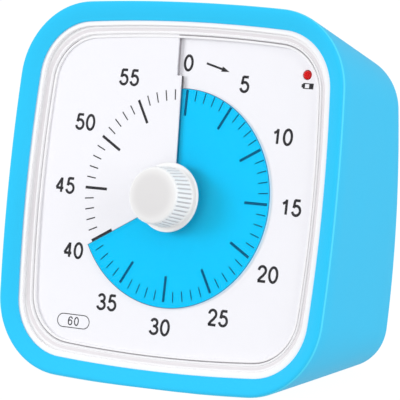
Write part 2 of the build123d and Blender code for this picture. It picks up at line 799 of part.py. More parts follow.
def make_battery():
    can = Pos(0, battery_y, battery_z) * Rot(Y=90) * Cylinder(battery_radius, battery_length)
    can = fillet(can.edges(), 0.6)
    nub_x = battery_length / 2 + battery_nub_length / 2 - 0.1
    return can + Pos(nub_x, battery_y, battery_z) * Rot(Y=90) * Cylinder(battery_nub_radius,
                                                                      battery_nub_length + 0.2)


def contact_wall_x():
    return battery_length / 2 + spring_depth + contact_thickness


def contact_tail(side):
    """The strip that leads a contact up to the edge of the circuit board."""
    x = side * (contact_wall_x() - contact_thickness / 2)
    low_y = battery_y + 2
    return slab(x, (low_y + 1.0) / 2, contact_thickness, 1.0 - low_y, battery_z - 1.5, battery_z + 1.5)


def make_plate_contact():
    x = contact_wall_x() - contact_thickness / 2
    plate = slab(x, battery_y, contact_thickness, contact_width, battery_z - 4.5, battery_z + 4.5)
    reach = spring_depth - battery_nub_length - 0.1
    dimple = Pos(x - reach / 2, battery_y, battery_z) * Rot(Y=90) * Cylinder(1.8, reach)
    return plate + dimple


def make_spring_contact():
    """A folded leaf that pushes on the battery's flat end."""
    x = -contact_wall_x() + contact_thickness / 2
    tip_x = -battery_length / 2 - contact_thickness / 2
    leaf = Polyline([(x, -4.0), (x, 4.0), (tip_x, 1.5), (tip_x, -1.5), (tip_x - 1.2, -3.0)])
    strip = extrude(trace(leaf, contact_thickness), contact_width / 2, both=True)
    return Pos(0, battery_y, battery_z) * Rot(X=90) * Rot(X=-90) * strip


def make_light():
    seat_z = chassis_back_z
    light = post(light_x, light_y, light_radius, seat_z - light_flange_thickness, light_front_z)
    light = fillet(light.edges().sort_by(Axis.Z)[-1], light_radius - 0.1)
    return light + post(light_x, light_y, light_flange_radius, seat_z - light_flange_thickness, seat_z)


def make_light_board():
    high_z = chassis_back_z - light_flange_thickness
    return slab(light_x - 2, light_y, light_board_width, light_board_height,
                high_z - light_board_thickness, high_z)


def make_case_screws():
    seat_z = case_back_z + case_head_depth + case_head_height
    screws = []
    for x, y in mirrored_places(screw_x, screw_y):
        screw = post(x, y, case_head_radius, seat_z - case_head_height, seat_z)
        screw += post(x, y, case_screw_radius, seat_z - 0.5, split_height + case_screw_bite)
        screws.append(screw - cross_slot(x, y, seat_z - case_head_height, -1, 2.6))
    return Compound(screws)


volume_x, volume_reach = switch_places()[0]
alert_x, alert_reach = switch_places()[1]

# fixed to the rear face, in the rear frame
rear_pieces = {
    "rear_cover": make_rear_cover(),
    "battery_door": make_door(),
    "circuit_board": make_board(),
    "timing_chip": make_chip(),
    "quartz_crystal": make_crystal(),
    "buzzer_can": make_buzzer(),
    "volume_switch_body": make_switch_body(volume_x, volume_reach),
    "volume_switch_cap": make_cap(volume_x),
    "alert_switch_body": make_switch_body(alert_x, alert_reach),
    "alert_switch_cap": make_cap(alert_x - alert_reach),
    "battery": make_battery(),
    "battery_spring_contact": make_spring_contact(),
    "battery_plate_contact": make_plate_contact(),
    "case_screws": make_case_screws(),
    "board_screws": make_board_screws(),
}

pieces = {
    "silicone_sleeve": make_sleeve(),
    "front_bezel": make_bezel(),
    "clear_lens": make_lens(),
    "middle_shell": make_middle_shell(),
    "dial_plate": make_dial(),
    "disc_film": make_film(),
    "disc_hub": make_hub(),
    "knob": make_knob(),
    "knob_shaft": make_shaft(),
    "chassis_plate": make_chassis(),
    "low_battery_light": make_light(),
    "light_board": make_light_board(),
    "movement_front": make_movement_front(),
    "movement_back": make_movement_back(),
    "centre_wheel": make_centre_wheel(),
    "clutch_spring": make_clutch_spring(),
    "intermediate_wheel": make_intermediate_wheel(),
    "rotor_pinion": make_rotor_pinion(),
    "rotor_magnet": make_rotor_magnet(),
    "stator": make_stator(),
    "coil_bobbin": make_bobbin(),
    "coil_winding": make_winding(),
    "chassis_screws": make_chassis_screws(),
    "movement_screws": make_movement_screws(),
}
for name, piece in rear_pieces.items():
    pieces[name] = rear_frame * piece

# ---- Stand the timer on the flat of its lower side: its face leans back by the taper
lean = Rot(X=90 - taper_angle)
box = Compound([lean * pieces[name] for name in ("silicone_sleeve", "rear_cover", "knob")]).bounding_box()
stand = Pos(0, -box.center().Y, -box.min.Z) * lean

os.makedirs("parts", exist_ok=True)
for name, piece in pieces.items():
    export_step(stand * piece, f"parts/{name}.step")
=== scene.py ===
import bmesh
import bpy
import json
import math
from mathutils import Matrix, Vector


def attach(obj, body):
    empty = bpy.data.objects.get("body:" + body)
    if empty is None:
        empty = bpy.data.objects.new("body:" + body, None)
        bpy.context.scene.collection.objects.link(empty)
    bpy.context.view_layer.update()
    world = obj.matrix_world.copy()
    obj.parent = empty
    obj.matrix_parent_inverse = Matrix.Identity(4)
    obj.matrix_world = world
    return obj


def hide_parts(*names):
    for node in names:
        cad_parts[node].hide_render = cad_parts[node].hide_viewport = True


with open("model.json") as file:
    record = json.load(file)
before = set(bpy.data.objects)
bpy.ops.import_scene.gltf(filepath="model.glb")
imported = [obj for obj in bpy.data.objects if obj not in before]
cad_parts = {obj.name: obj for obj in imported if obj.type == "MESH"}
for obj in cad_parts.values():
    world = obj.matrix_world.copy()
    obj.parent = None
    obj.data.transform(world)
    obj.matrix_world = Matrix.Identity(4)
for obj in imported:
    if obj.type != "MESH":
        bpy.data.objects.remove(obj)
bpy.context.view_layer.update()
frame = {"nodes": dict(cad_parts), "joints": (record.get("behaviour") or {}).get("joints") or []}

# Lengths are in millimetres in the dial's own frame: x to the right, y up the dial and z towards the
# viewer, with the dial's face at z = 0 just right of its slit. to_world() turns them into Blender's metres.
MM = 0.001

# ---- The dial's place in the frame
turn_joint = next(joint for joint in frame["joints"] if joint["name"] == "knob_turn")
toward = -Vector(turn_joint["axis"]).normalized()
right = Vector((1, 0, 0))
up = toward.cross(right)
shaft_point = Vector(turn_joint["pos_m"])
dial_turn = Matrix((right, up, toward)).transposed()
dial_place = Matrix.Translation(shaft_point) @ dial_turn.to_4x4() @ Matrix.Scale(MM, 4)

# ---- Body and sleeve
front_half = 44.6            # half width at the middle of a side, at the front edge
rear_half = 37.0
front_corner = 18.9          # radius of the corners
rear_corner = 11.4
body_lift = 0.43             # the middle of every square outline lies this far above the shaft's axis
side_bulge = 1.9
front_z = 4.5
body_depth = 44.05
rear_z = front_z - body_depth
rear_tilt = math.radians(7.8)
rear_slope = math.tan(rear_tilt)
taper = (front_half - rear_half) / body_depth
front_edge_round = 1.0
rear_edge_round = 2.0
side_end = 1 - rear_edge_round / body_depth   # where the rear edge starts, as a share of the side
sleeve_wall = 2.4

lip_half = 40.15
lip_corner = 13.8
lip_inner_z = 3.3
lip_underside_z = 2.85
lip_underside_round = 0.1
lip_edge_round = 0.3
lip_bow = 0.15               # the lip's front slope swells by this
lip_shift_x = 0.2            # the stretched lip's opening sits a little off the middle
lip_shift_y = -0.15
rear_lip_half = 32.7
rear_lip_corner = 10.1
rear_lip_thickness = 1.15
rear_lip_round = 0.3
rear_lip_overlap = 2.5       # of its inside, hidden behind the case

# ---- Bezel
case_inset = 2.45            # from the body's outside to the case's
bezel_front_z = 2.8
bezel_back_z = -1.5
bezel_edge = 0.15
lens_recess_half = 39.0
lens_corner = 12.8
lens_back_z = 1.95
slope_half = 38.5            # the slope runs from the lens's ledge down to the bead
slope_foot_half = 37.85
slope_foot_flat = 0.1
slope_step = 0.02            # where the slope meets the flats on its two sides
bead_z = 1.6
bead_half = 37.45            # to the middle of the bead
bead_breadth = 0.26          # on each side of that
bead_height = 0.28
groove_outer_half = 37.12
groove_inner_half = 36.93
groove_z = 1.1
rim_half = 36.85             # the rim is what lies inside the groove
rim_z = 1.5
rim_round = 0.08
window_half = 36.4
window_corner = 11.0
dial_half = 37.2
dial_corner = 11.7
dial_clearance = 0.03        # of the bezel above the dial

# ---- Knob
flange_radius = 8.0
flange_back_z = 2.9
flange_front_z = 3.85
flange_round = 0.3
knob_base_radius = 7.05
knob_top_radius = 6.45
knob_top_z = 10.7
knob_edge_round = 1.1
knob_crown = 0.45            # the top is a shallow dome
knob_foot_width = 0.1        # of the fine fillet where the knob meets its flange
knob_foot_height = 0.08
flute_count = 40
flute_depth = 0.38
flute_start = 0.35           # of the flutes, above the flange
flute_run_in = 0.15
flute_points = 16            # of a ring, for each flute
shaded_points = 6            # of those, at the flute's bottom, painted grey as painted shade
neck_radius = 4.6
neck_back_z = 2.3
bore_radius = 2.0
bore_top_z = 8.4

# ---- Dial, its slit and the film
screw_pitch = 1.2
dial_thickness = 0.4
slit_angle = math.radians(-2.1)   # of the slit, clockwise from 12 o'clock
slit_jog = 1.25              # the slit steps to the left by this, beyond slit_jog_y
slit_jog_y = 28.2
film_radius = 25.35
film_thickness = 0.2
film_gap = 0.3
hub_radius = 4.2
minutes_set = 40.14
overlap = 0.02               # by which thin pieces reach into what they lie on

# ---- Print
print_turn = math.radians(0.83)   # the print is turned clockwise by this against the body
print_lift = 0.55            # the print's middle above the shaft's axis
print_height = 0.03          # of the printed marks above the dial
tick_outer = 24.5
major_inner = 18.54
minor_inner = 22.07
major_width = 0.64
minor_width = 0.27
number_radius = 30.5
number_height = 4.0
digit_width = 2.02
digit_gap = 0.9
stroke_width = 0.62
# how far each minute's number stands off its place on the circle of numbers, to the right and up
number_shifts = {0: (-0.5, 0.2), 5: (-0.1, 0.3), 10: (0.1, 0.3), 15: (0.3, -0.1),
                 20: (0.3, -0.3), 25: (-0.2, -0.2), 30: (-0.2, 0.2), 35: (0.0, 0.3),
                 40: (0.3, 0.3), 45: (0.2, 0.0), 50: (-0.1, -0.1), 55: (-0.3, -0.1)}


def to_world(x, y, z):
    return dial_place @ Vector((x, y, z))


# ---- Meshes

def add_object(name, mesh):
    piece = bpy.data.objects.new(name, mesh)
    bpy.context.scene.collection.objects.link(piece)
    return piece


def smooth(mesh, degrees):
    """Shades a mesh smooth, but for the edges that turn by more than an angle."""
    for polygon in mesh.polygons:
        polygon.use_smooth = True
    mesh.set_sharp_from_angle(angle=math.radians(degrees))


def mesh_from(name, points, faces):
    mesh = bpy.data.meshes.new(name)
    mesh.from_pydata(points, [], faces)
    work = bmesh.new()
    work.from_mesh(mesh)
    bmesh.ops.recalc_face_normals(work, faces=work.faces)
    work.to_mesh(mesh)
    work.free()
    return mesh


def bulged_square(half, corner):
    """Points of a rounded square with slightly bulging sides, clockwise from the middle of the top."""
    side_steps = 14
    corner_steps = 12
    end = half - side_bulge
    side_radius = (end * end + side_bulge * side_bulge) / (2 * side_bulge)
    side_centre = half - side_radius
    reach = math.sqrt(2 * (side_radius - corner) ** 2 - side_centre ** 2)
    corner_centre = (side_centre + reach) / 2
    side_angle = math.atan2(corner_centre, corner_centre - side_centre)
    eighth = []
    for step in range(side_steps + 1):
        angle = side_angle * step / side_steps
        eighth.append((side_radius * math.sin(angle), side_centre + side_radius * math.cos(angle)))
    for step in range(1, corner_steps + 1):
        angle = side_angle + (math.pi / 2 - 2 * side_angle) * step / (2 * corner_steps)
        eighth.append((corner_centre + corner * math.sin(angle), corner_centre + corner * math.cos(angle)))
    quarter = eighth + [(y, x) for x, y in reversed(eighth[:-1])]
    outline = []
    for _ in range(4):
        outline += quarter[:-1]
        quarter = [(y, -x) for x, y in quarter]
    return [(x, y + body_lift) for x, y in outline]


def level(half, corner, z):
    """A ring on one height."""
    return [(x, y, z) for x, y in bulged_square(half, corner)]


def loft(name, rings):
    """A skin through rings of equally many points, joined last to first. It stays above the ground."""
    count = len(rings[0])
    points = [to_world(*point) for ring in rings for point in ring]
    for point in points:
        point.z = max(point.z, 0.0)
    faces = []
    for ring in range(len(rings)):
        low = ring * count
        high = ((ring + 1) % len(rings)) * count
        for k in range(count):
            after = (k + 1) % count
            faces.append((low + k, low + after, high + after, high + k))
    return mesh_from(name, points, faces)


def paint_bands(mesh, count, bands, slot, chosen=lambda k: True):
    """Gives a loft's faces in some bands, each between a ring and the next, another of its materials."""
    for polygon in mesh.polygons:
        band, k = divmod(polygon.index, count)
        if band in bands and chosen(k):
            polygon.material_index = slot


def body_half(z):
    return front_half + (rear_half - front_half) * (front_z - z) / body_depth


def body_corner(z):
    return front_corner + (rear_corner - front_corner) * (front_z - z) / body_depth


def side_ring(share, inset=0.0):
    """A ring on the body's side. share runs from 0 at the front to 1 at the tilted rear face."""
    ring = []
    for k in range(len(bulged_square(front_half, front_corner))):
        y = 0.0
        # a point's z follows from its y, and its y from the outline at that z: four rounds settle both
        for _ in range(4):
            z = front_z - share * (front_z - rear_z - rear_slope * y)
            x, y = bulged_square(body_half(z) - inset, body_corner(z) - inset)[k]
        ring.append((x, y, z))
    return ring


def dial_height(x, y):
    """Height of the dial's face, which winds up clockwise from the slit."""
    from_slit = math.atan2(x, y) - slit_angle
    left_of_slit = -math.hypot(x, y) * math.sin(from_slit)
    if y > slit_jog_y and 0 < left_of_slit <= slit_jog:
        return 0.0
    return screw_pitch * (from_slit % (2 * math.pi)) / (2 * math.pi)


# ---- Materials

grain_depth = 0.00002        # of moulded and plated faces, in metres


def new_material(name):
    """A material, its nodes, its links and its own shader."""
    material = bpy.data.materials.new(name)
    material.use_nodes = True
    nodes = material.node_tree.nodes
    return material, nodes, material.node_tree.links, nodes["Principled BSDF"]


def add_noise(nodes, links, scale, detail=3.0):
    """Noise that is fixed to the piece. scale is in waves per metre."""
    place = nodes.new("ShaderNodeTexCoord")
    noise = nodes.new("ShaderNodeTexNoise")
    noise.inputs["Scale"].default_value = scale
    noise.inputs["Detail"].default_value = detail
    links.new(place.outputs["Object"], noise.inputs["Vector"])
    return noise.outputs["Fac"]


def add_range(nodes, links, value, low, high):
    ranged = nodes.new("ShaderNodeMapRange")
    ranged.inputs["To Min"].default_value = low
    ranged.inputs["To Max"].default_value = high
    links.new(value, ranged.inputs["Value"])
    return ranged.outputs["Result"]


def add_mix(nodes, links, share, first, second):
    """A colour that runs from the first to the second as the share grows from 0 to 1."""
    mix = nodes.new("ShaderNodeMix")
    mix.data_type = "RGBA"
    mix.inputs["A"].default_value = (*first, 1)
    mix.inputs["B"].default_value = (*second, 1)
    links.new(share, mix.inputs["Factor"])
    return mix.outputs["Result"]


def add_bump(nodes, links, value, shader, strength, depth):
    bump = nodes.new("ShaderNodeBump")
    bump.inputs["Strength"].default_value = strength
    bump.inputs["Distance"].default_value = depth
    links.new(value, bump.inputs["Height"])
    links.new(bump.outputs["Normal"], shader.inputs["Normal"])


def blotched(name, colour, roughness, variation=0.03, blotch=60.0, grain=4000.0, grain_strength=0.15,
             metallic=0.0):
    """Moulded or plated stuff: a slightly uneven colour and sheen over a fine grain."""
    material, nodes, links, shader = new_material(name)
    shader.inputs["Metallic"].default_value = metallic
    blotches = add_noise(nodes, links, blotch)
    darker = [part * (1 - variation) for part in colour]
    lighter = [min(1.0, part * (1 + variation)) for part in colour]
    links.new(add_mix(nodes, links, blotches, darker, lighter), shader.inputs["Base Color"])
    uneven = add_range(nodes, links, blotches, roughness - 0.05, roughness + 0.05)
    links.new(uneven, shader.inputs["Roughness"])
    add_bump(nodes, links, add_noise(nodes, links, grain, 2.0), shader, grain_strength, grain_depth)
    return material


def shader_of(material):
    return material.node_tree.nodes["Principled BSDF"]


def silicone(name, colour):
    material = blotched(name, colour, 0.55, variation=0.02, blotch=30.0, grain=2500.0, grain_strength=0.12)
    shader = shader_of(material)
    shader.inputs["Specular IOR Level"].default_value = 0.4
    shader.inputs["Sheen Weight"].default_value = 0.08
    shader.inputs["Sheen Roughness"].default_value = 0.4
    shader.inputs["Sheen Tint"].default_value = (0.5, 0.85, 1.0, 1)
    return material


def clear(name, tint, gloss_roughness, least_gloss, haze=0.0, glow=0.0):
    """See-through plastic: a tint for what passes, a gloss at its faces and a little haze with a painted
    glow.
    """
    material, nodes, links, haze_shader = new_material(name)
    haze_shader.inputs["Base Color"].default_value = (0.0, 0.5, 0.95, 1)
    haze_shader.inputs["Roughness"].default_value = 0.5
    haze_shader.inputs["Specular IOR Level"].default_value = 0.0
    # the haze's emission is a painted glow
    haze_shader.inputs["Emission Color"].default_value = (0.0, 0.4, 1.0, 1)
    haze_shader.inputs["Emission Strength"].default_value = glow
    through = nodes.new("ShaderNodeBsdfTransparent")
    through.inputs["Color"].default_value = (*tint, 1)
    body = nodes.new("ShaderNodeMixShader")
    body.inputs["Fac"].default_value = haze
    links.new(through.outputs["BSDF"], body.inputs[1])
    links.new(haze_shader.outputs["BSDF"], body.inputs[2])
    gloss = nodes.new("ShaderNodeBsdfGlossy")
    gloss.inputs["Roughness"].default_value = gloss_roughness
    ripple_waves = 120.0
    add_bump(nodes, links, add_noise(nodes, links, ripple_waves), gloss, 0.05, 0.0002)
    # gloss that grows towards grazing view, the same on both sides of a face
    weight = nodes.new("ShaderNodeLayerWeight")
    weight.inputs["Blend"].default_value = 0.5
    grazing = nodes.new("ShaderNodeMath")
    grazing.operation = "POWER"
    grazing.inputs[1].default_value = 5.0
    links.new(weight.outputs["Facing"], grazing.inputs[0])
    most_gloss = 0.6
    whole = nodes.new("ShaderNodeMixShader")
    gloss_share = add_range(nodes, links, grazing.outputs["Value"], least_gloss, most_gloss)
    links.new(gloss_share, whole.inputs["Fac"])
    links.new(body.outputs["Shader"], whole.inputs[1])
    links.new(gloss.outputs["BSDF"], whole.inputs[2])
    links.new(whole.outputs["Shader"], nodes["Material Output"].inputs["Surface"])
    return material


def topped(name, colour, top_shade_colour, start_z, end_z):
    """White plastic that greys towards the top as painted shade, between two heights above the dial."""
    material, nodes, links, shader = new_material(name)
    shader.inputs["Roughness"].default_value = 0.4
    place = nodes.new("ShaderNodeTexCoord")
    height = nodes.new("ShaderNodeVectorMath")
    height.operation = "DOT_PRODUCT"
    height.inputs[1].default_value = toward
    links.new(place.outputs["Object"], height.inputs[0])
    share = nodes.new("ShaderNodeMapRange")
    share.interpolation_type = "SMOOTHSTEP"
    share.inputs["From Min"].default_value = shaft_point.dot(toward) + start_z * MM
    share.inputs["From Max"].default_value = shaft_point.dot(toward) + end_z * MM
    links.new(height.outputs["Value"], share.inputs["Value"])
    top_shade_mix = add_mix(nodes, links, share.outputs["Result"], colour, top_shade_colour)
    links.new(top_shade_mix, shader.inputs["Base Color"])
    add_bump(nodes, links, add_noise(nodes, links, 4000.0, 2.0), shader, 0.12, grain_depth)
    return material


def glowing_red():
    material = blotched("red light", (0.6, 0.001, 0.002), 0.3, grain_strength=0.02)
    shader = shader_of(material)
    shader.inputs["Specular IOR Level"].default_value = 0.15
    shader.inputs["Emission Color"].default_value = (0.7, 0.0, 0.002, 1)
    shader.inputs["Emission Strength"].default_value = 0.1
    return material


sleeve_blue = silicone("blue silicone", (0.014, 0.545, 0.90))
# a lighter blue for a painted highlight on the sleeve's rounded front edge
painted_highlight_blue = silicone("blue silicone, painted highlight", (0.07, 0.70, 0.98))
case_white = blotched("white case plastic", (0.93, 0.92, 0.93), 0.32, variation=0.01, grain_strength=0.08)
slope_shade_white = blotched("white plastic, painted shade", (0.80, 0.765, 0.785), 0.35, variation=0.01,
                       grain_strength=0.08)
groove_shade_grey = blotched("painted groove shade", (0.36, 0.34, 0.36), 0.6)
# the knob's top is painted grey, as painted shade
knob_white_shaded_top = topped("white knob plastic, painted shade on top", (0.88, 0.88, 0.88), (0.70, 0.69, 0.695), 9.95, 10.5)
flute_shade_grey = blotched("painted flute shade", (0.68, 0.67, 0.68), 0.5)
dial_white = blotched("white dial plate", (0.90, 0.89, 0.925), 0.55, variation=0.01, grain=6000.0)
dial_ink = blotched("dark grey print", (0.010, 0.009, 0.013), 0.6, variation=0.1, blotch=900.0)
# the film's haze has a painted blue glow
film_blue = clear("blue film", (0.06, 0.845, 1.0), 0.12, 0.003, haze=0.05, glow=1.0)
film_rim_shade = blotched("painted film rim shade", (0.03, 0.13, 0.25), 0.5, variation=0.05, blotch=900.0)
lens_clear = clear("clear lens", (0.995, 0.997, 1.0), 0.02, 0.009)
light_red = glowing_red()
steel = blotched("plated steel", (0.62, 0.62, 0.64), 0.28, variation=0.06, blotch=400.0, metallic=1.0)
brass = blotched("turned brass", (0.78, 0.55, 0.25), 0.25, variation=0.06, blotch=300.0, metallic=1.0)
copper = blotched("enamelled wire", (0.55, 0.2, 0.07), 0.3, blotch=500.0, metallic=1.0)
black = blotched("black plastic", (0.02, 0.02, 0.022), 0.45, variation=0.1)
grey = blotched("grey plastic", (0.42, 0.43, 0.45), 0.45)
acetal = blotched("natural acetal", (0.8, 0.78, 0.7), 0.4)
solder_mask = blotched("solder mask", (0.02, 0.17, 0.06), 0.35, variation=0.12, blotch=900.0)
ferrite = blotched("ferrite", (0.07, 0.07, 0.075), 0.6, variation=0.15, blotch=700.0)
battery_wrap = blotched("battery wrap", (0.05, 0.055, 0.065), 0.25, grain_strength=0.03)

node_materials = (
    (case_white, ("front_bezel", "middle_shell", "rear_cover", "battery_door", "chassis_plate")),
    (knob_white_shaded_top, ("knob", "disc_hub")),
    (dial_white, ("dial_plate",)),
    (film_blue, ("disc_film",)),
    (lens_clear, ("clear_lens",)),
    (light_red, ("low_battery_light",)),
    (steel, ("clutch_spring", "stator", "quartz_crystal", "volume_switch_body", "alert_switch_body",
             "battery_spring_contact", "battery_plate_contact", "case_screws", "chassis_screws",
             "movement_screws", "board_screws")),
    (brass, ("knob_shaft",)),
    (copper, ("coil_winding",)),
    (black, ("coil_bobbin", "timing_chip", "buzzer_can", "volume_switch_cap", "alert_switch_cap")),
    (grey, ("movement_front", "movement_back")),
    (acetal, ("centre_wheel", "intermediate_wheel", "rotor_pinion")),
    (solder_mask, ("light_board", "circuit_board")),
    (ferrite, ("rotor_magnet",)),
    (battery_wrap, ("battery",)),
)


def dress_nodes():
    for material, nodes in node_materials:
        for node in nodes:
            mesh = frame["nodes"][node].data
            mesh.materials.clear()
            mesh.materials.append(material)
    # the film tints what lies behind it, and throws no blue light on the knob
    frame["nodes"]["disc_film"].visible_diffuse = False
    frame["nodes"]["disc_film"].visible_glossy = False


# ---- Silicone sleeve

def lip_rings():
    """From the lip's hidden underside over its inner edge and up its front slope."""

    def lip_ring(half, corner, z, part=1.0):
        """A ring of the lip, moved by a part of the opening's own shift."""
        return [(x + lip_shift_x * part, y + lip_shift_y * part, z) for x, y in bulged_square(half, corner)]

    rings = [
        lip_ring(front_half - sleeve_wall, front_corner - sleeve_wall, lip_underside_z, 0.0),
        lip_ring(lip_half + lip_underside_round, lip_corner + lip_underside_round, lip_underside_z),
        lip_ring(lip_half, lip_corner, lip_underside_z + lip_underside_round),
    ]
    rounding = 3
    for step in range(rounding + 1):
        angle = math.pi / 2 * step / rounding
        inset = lip_edge_round * (1 - math.cos(angle))
        z = lip_inner_z - lip_edge_round * (1 - math.sin(angle))
        rings.append(lip_ring(lip_half + inset, lip_corner + inset, z))
    slope_rings = 5
    foot_half = lip_half + lip_edge_round
    top_half = front_half - front_edge_round
    top_corner = front_corner - front_edge_round
    for step in range(1, slope_rings + 1):
        share = step / slope_rings
        half = foot_half + (top_half - foot_half) * share
        corner = lip_corner + (top_corner - lip_corner) * share
        z = lip_inner_z + (front_z - lip_inner_z) * share + lip_bow * math.sin(math.pi * share)
        rings.append(lip_ring(half, corner, z, 1 - share))
    return rings


def outside_rings():
    """The rounded front edge, the side and the rounded rear edge."""
    rings = []
    rounding = 6
    for step in range(1, rounding + 1):
        angle = math.pi / 2 * step / rounding
        inset = front_edge_round * (1 - math.sin(angle))
        z = front_z - front_edge_round * (1 - math.cos(angle))
        rings.append(level(body_half(z) - inset, body_corner(z) - inset, z))
    side_start = front_edge_round / body_depth
    side_steps = 8
    for step in range(1, side_steps + 1):
        rings.append(side_ring(side_start + (side_end - side_start) * step / side_steps))
    for step in range(1, rounding + 1):
        angle = math.pi / 2 * step / rounding
        inset = rear_edge_round * (1 - math.cos(angle))
        rings.append(side_ring(side_end + (1 - side_end) * math.sin(angle), inset))
    return rings


def rear_lip_rings():
    """The rear lip, in the plane of the rear face."""
    middle_y = rear_half * taper * rear_slope
    middle_z = rear_z + middle_y * rear_slope
    across = math.cos(rear_tilt)
    rise = math.sin(rear_tilt)
    rings = []
    for half, height in ((rear_lip_half + rear_lip_round, 0.0), (rear_lip_half, rear_lip_round),
                         (rear_lip_half, rear_lip_thickness),
                         (rear_lip_half + rear_lip_overlap, rear_lip_thickness)):
        rings.append([(x, middle_y + y * across - height * rise, middle_z + y * rise + height * across)
                      for x, y in bulged_square(half, rear_lip_corner)])
    return rings


def make_sleeve():
    lip = lip_rings()
    # the wall's inside runs back to the front, hidden by the case
    wall_inside = [side_ring(share, sleeve_wall) for share in (side_end, 0.5, 0.06)]
    rings = lip + outside_rings() + rear_lip_rings() + wall_inside
    mesh = loft("sleeve", rings)
    smooth(mesh, 50)
    mesh.materials.append(sleeve_blue)
    mesh.materials.append(painted_highlight_blue)
    # the two middle bands of the rounded front edge get a lighter blue, a painted highlight
    edge_band = len(lip) + 2
    paint_bands(mesh, len(rings[0]), (edge_band, edge_band + 1), 1)
    sleeve = add_object("moulded_sleeve", mesh)
    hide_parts("silicone_sleeve")
    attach(sleeve, "case")


# ---- Bezel, with a bead and a groove round the window

def make_bezel():

    def window_ring(half, z):
        """A ring round the window. Its corners shrink with it."""
        return level(half, window_corner + half - window_half, z)

    def dial_ring(half):
        """A ring that lies just above the dial."""
        return [(x, y, dial_height(x, y) + dial_clearance) for x, y, _ in window_ring(half, 0.0)]

    outer_half = body_half(bezel_front_z) - case_inset
    outer_corner = body_corner(bezel_front_z) - case_inset
    rings = [
        level(body_half(bezel_back_z) - case_inset, body_corner(bezel_back_z) - case_inset, bezel_back_z),
        level(outer_half, outer_corner, bezel_front_z - bezel_edge),
        level(outer_half - bezel_edge, outer_corner - bezel_edge, bezel_front_z),
        level(lens_recess_half + bezel_edge, lens_corner + bezel_edge, bezel_front_z),
        level(lens_recess_half, lens_corner, bezel_front_z - bezel_edge),
        level(lens_recess_half, lens_corner, lens_back_z),
        window_ring(slope_half, lens_back_z - slope_step),
    ]
    slope_band = len(rings) - 1
    rings += [window_ring(slope_foot_half, bead_z + slope_step),
              window_ring(slope_foot_half - slope_foot_flat, bead_z)]
    bead_steps = 6
    for step in range(bead_steps + 1):
        angle = math.pi * step / bead_steps
        half = bead_half + bead_breadth * math.cos(angle)
        rings.append(window_ring(half, bead_z + bead_height * math.sin(angle)))
    groove_band = len(rings)
    rings += [
        window_ring(groove_outer_half, groove_z), window_ring(groove_inner_half, groove_z),
        window_ring(rim_half, rim_z), window_ring(window_half + rim_round, rim_z),
        window_ring(window_half, rim_z - rim_round),
        dial_ring(window_half), dial_ring(dial_half),
        level(dial_half, dial_corner, bezel_back_z),
    ]
    mesh = loft("bezel", rings)
    smooth(mesh, 35)
    for material in (case_white, slope_shade_white, groove_shade_grey):
        mesh.materials.append(material)
    # the slope from the lens's ledge down to the bead is painted greyer, as painted shade
    paint_bands(mesh, len(rings[0]), (slope_band,), 1)
    # the groove round the window is painted dark grey, as painted shade
    paint_bands(mesh, len(rings[0]), (groove_band,), 2)
    bezel = add_object("beaded_bezel", mesh)
    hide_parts("front_bezel")
    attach(bezel, "case")


# ---- Knob

def round_ring(radius, z, flute=0.0):
    """A ring about the shaft's axis, with narrow flutes of some depth."""
    count = flute_points * flute_count
    ring = []
    for k in range(count):
        wave = 0.5 + 0.5 * math.cos(2 * math.pi * k / flute_points)
        reach = radius - flute * wave ** 6
        angle = 2 * math.pi * k / count
        ring.append((reach * math.sin(angle), reach * math.cos(angle), z))
    return ring


def flange_rings():
    """The rounded rim of the flange, from its back to its front."""
    rounding = 4
    backs = []
    fronts = []
    for step in range(rounding + 1):
        angle = math.pi / 2 * step / rounding
        sine_gap = flange_round * (1 - math.sin(angle))
        cosine_gap = flange_round * (1 - math.cos(angle))
        backs.append(round_ring(flange_radius - sine_gap, flange_back_z + cosine_gap))
        fronts.append(round_ring(flange_radius - cosine_gap, flange_front_z - sine_gap))
    return backs + fronts


def make_knob():
    rings = [round_ring(neck_radius, neck_back_z), round_ring(neck_radius, flange_back_z)]
    rings += flange_rings()
    rings.append(round_ring(knob_base_radius + knob_foot_width, flange_front_z))
    rings.append(round_ring(knob_base_radius, flange_front_z + knob_foot_height))
    # the fluted side, which narrows towards the top
    shoulder_z = knob_top_z - knob_crown - knob_edge_round
    draft = (knob_base_radius - knob_top_radius) / (knob_top_z - flange_front_z)
    start_z = flange_front_z + flute_start
    flute_band = len(rings) + 1
    for z, flute in ((start_z, 0.0), (start_z + flute_run_in, flute_depth),
                     ((flange_front_z + shoulder_z) / 2, flute_depth), (shoulder_z, flute_depth)):
        rings.append(round_ring(knob_base_radius - draft * (z - flange_front_z), z, flute))
    # the rounded edge, where the flutes run out, and the crown
    shoulder = knob_base_radius - draft * (shoulder_z - flange_front_z)
    rounding = 10
    run_out = 1.8
    for step in range(1, rounding + 1):
        angle = math.pi / 2 * step / rounding
        fade = max(0.0, 1 - run_out * math.sin(angle))
        rings.append(round_ring(shoulder - knob_edge_round * (1 - math.cos(angle)),
                                shoulder_z + knob_edge_round * math.sin(angle), flute_depth * fade))
    rim = shoulder - knob_edge_round
    crown_steps = 8
    for step in range(1, crown_steps):
        share = 1 - step / crown_steps
        rings.append(round_ring(rim * share, knob_top_z - knob_crown * share ** 2))
    # the skin turns back into the bore on a pinhole at the axis
    pinhole = 0.05
    rings += [round_ring(pinhole, knob_top_z), round_ring(pinhole, bore_top_z),
              round_ring(bore_radius, bore_top_z), round_ring(bore_radius, neck_back_z)]
    mesh = loft("knob", rings)
    smooth(mesh, 45)
    mesh.materials.append(knob_white_shaded_top)
    mesh.materials.append(flute_shade_grey)
    # the flutes' bottoms are painted grey, as painted shade
    paint_bands(mesh, len(rings[0]), range(flute_band, flute_band + 3), 1,
                lambda k: (k + shaded_points // 2) % flute_points < shaded_points)
    knob = add_object("fluted_knob", mesh)
    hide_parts("knob")
    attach(knob, "knob")


# ---- Slit and film

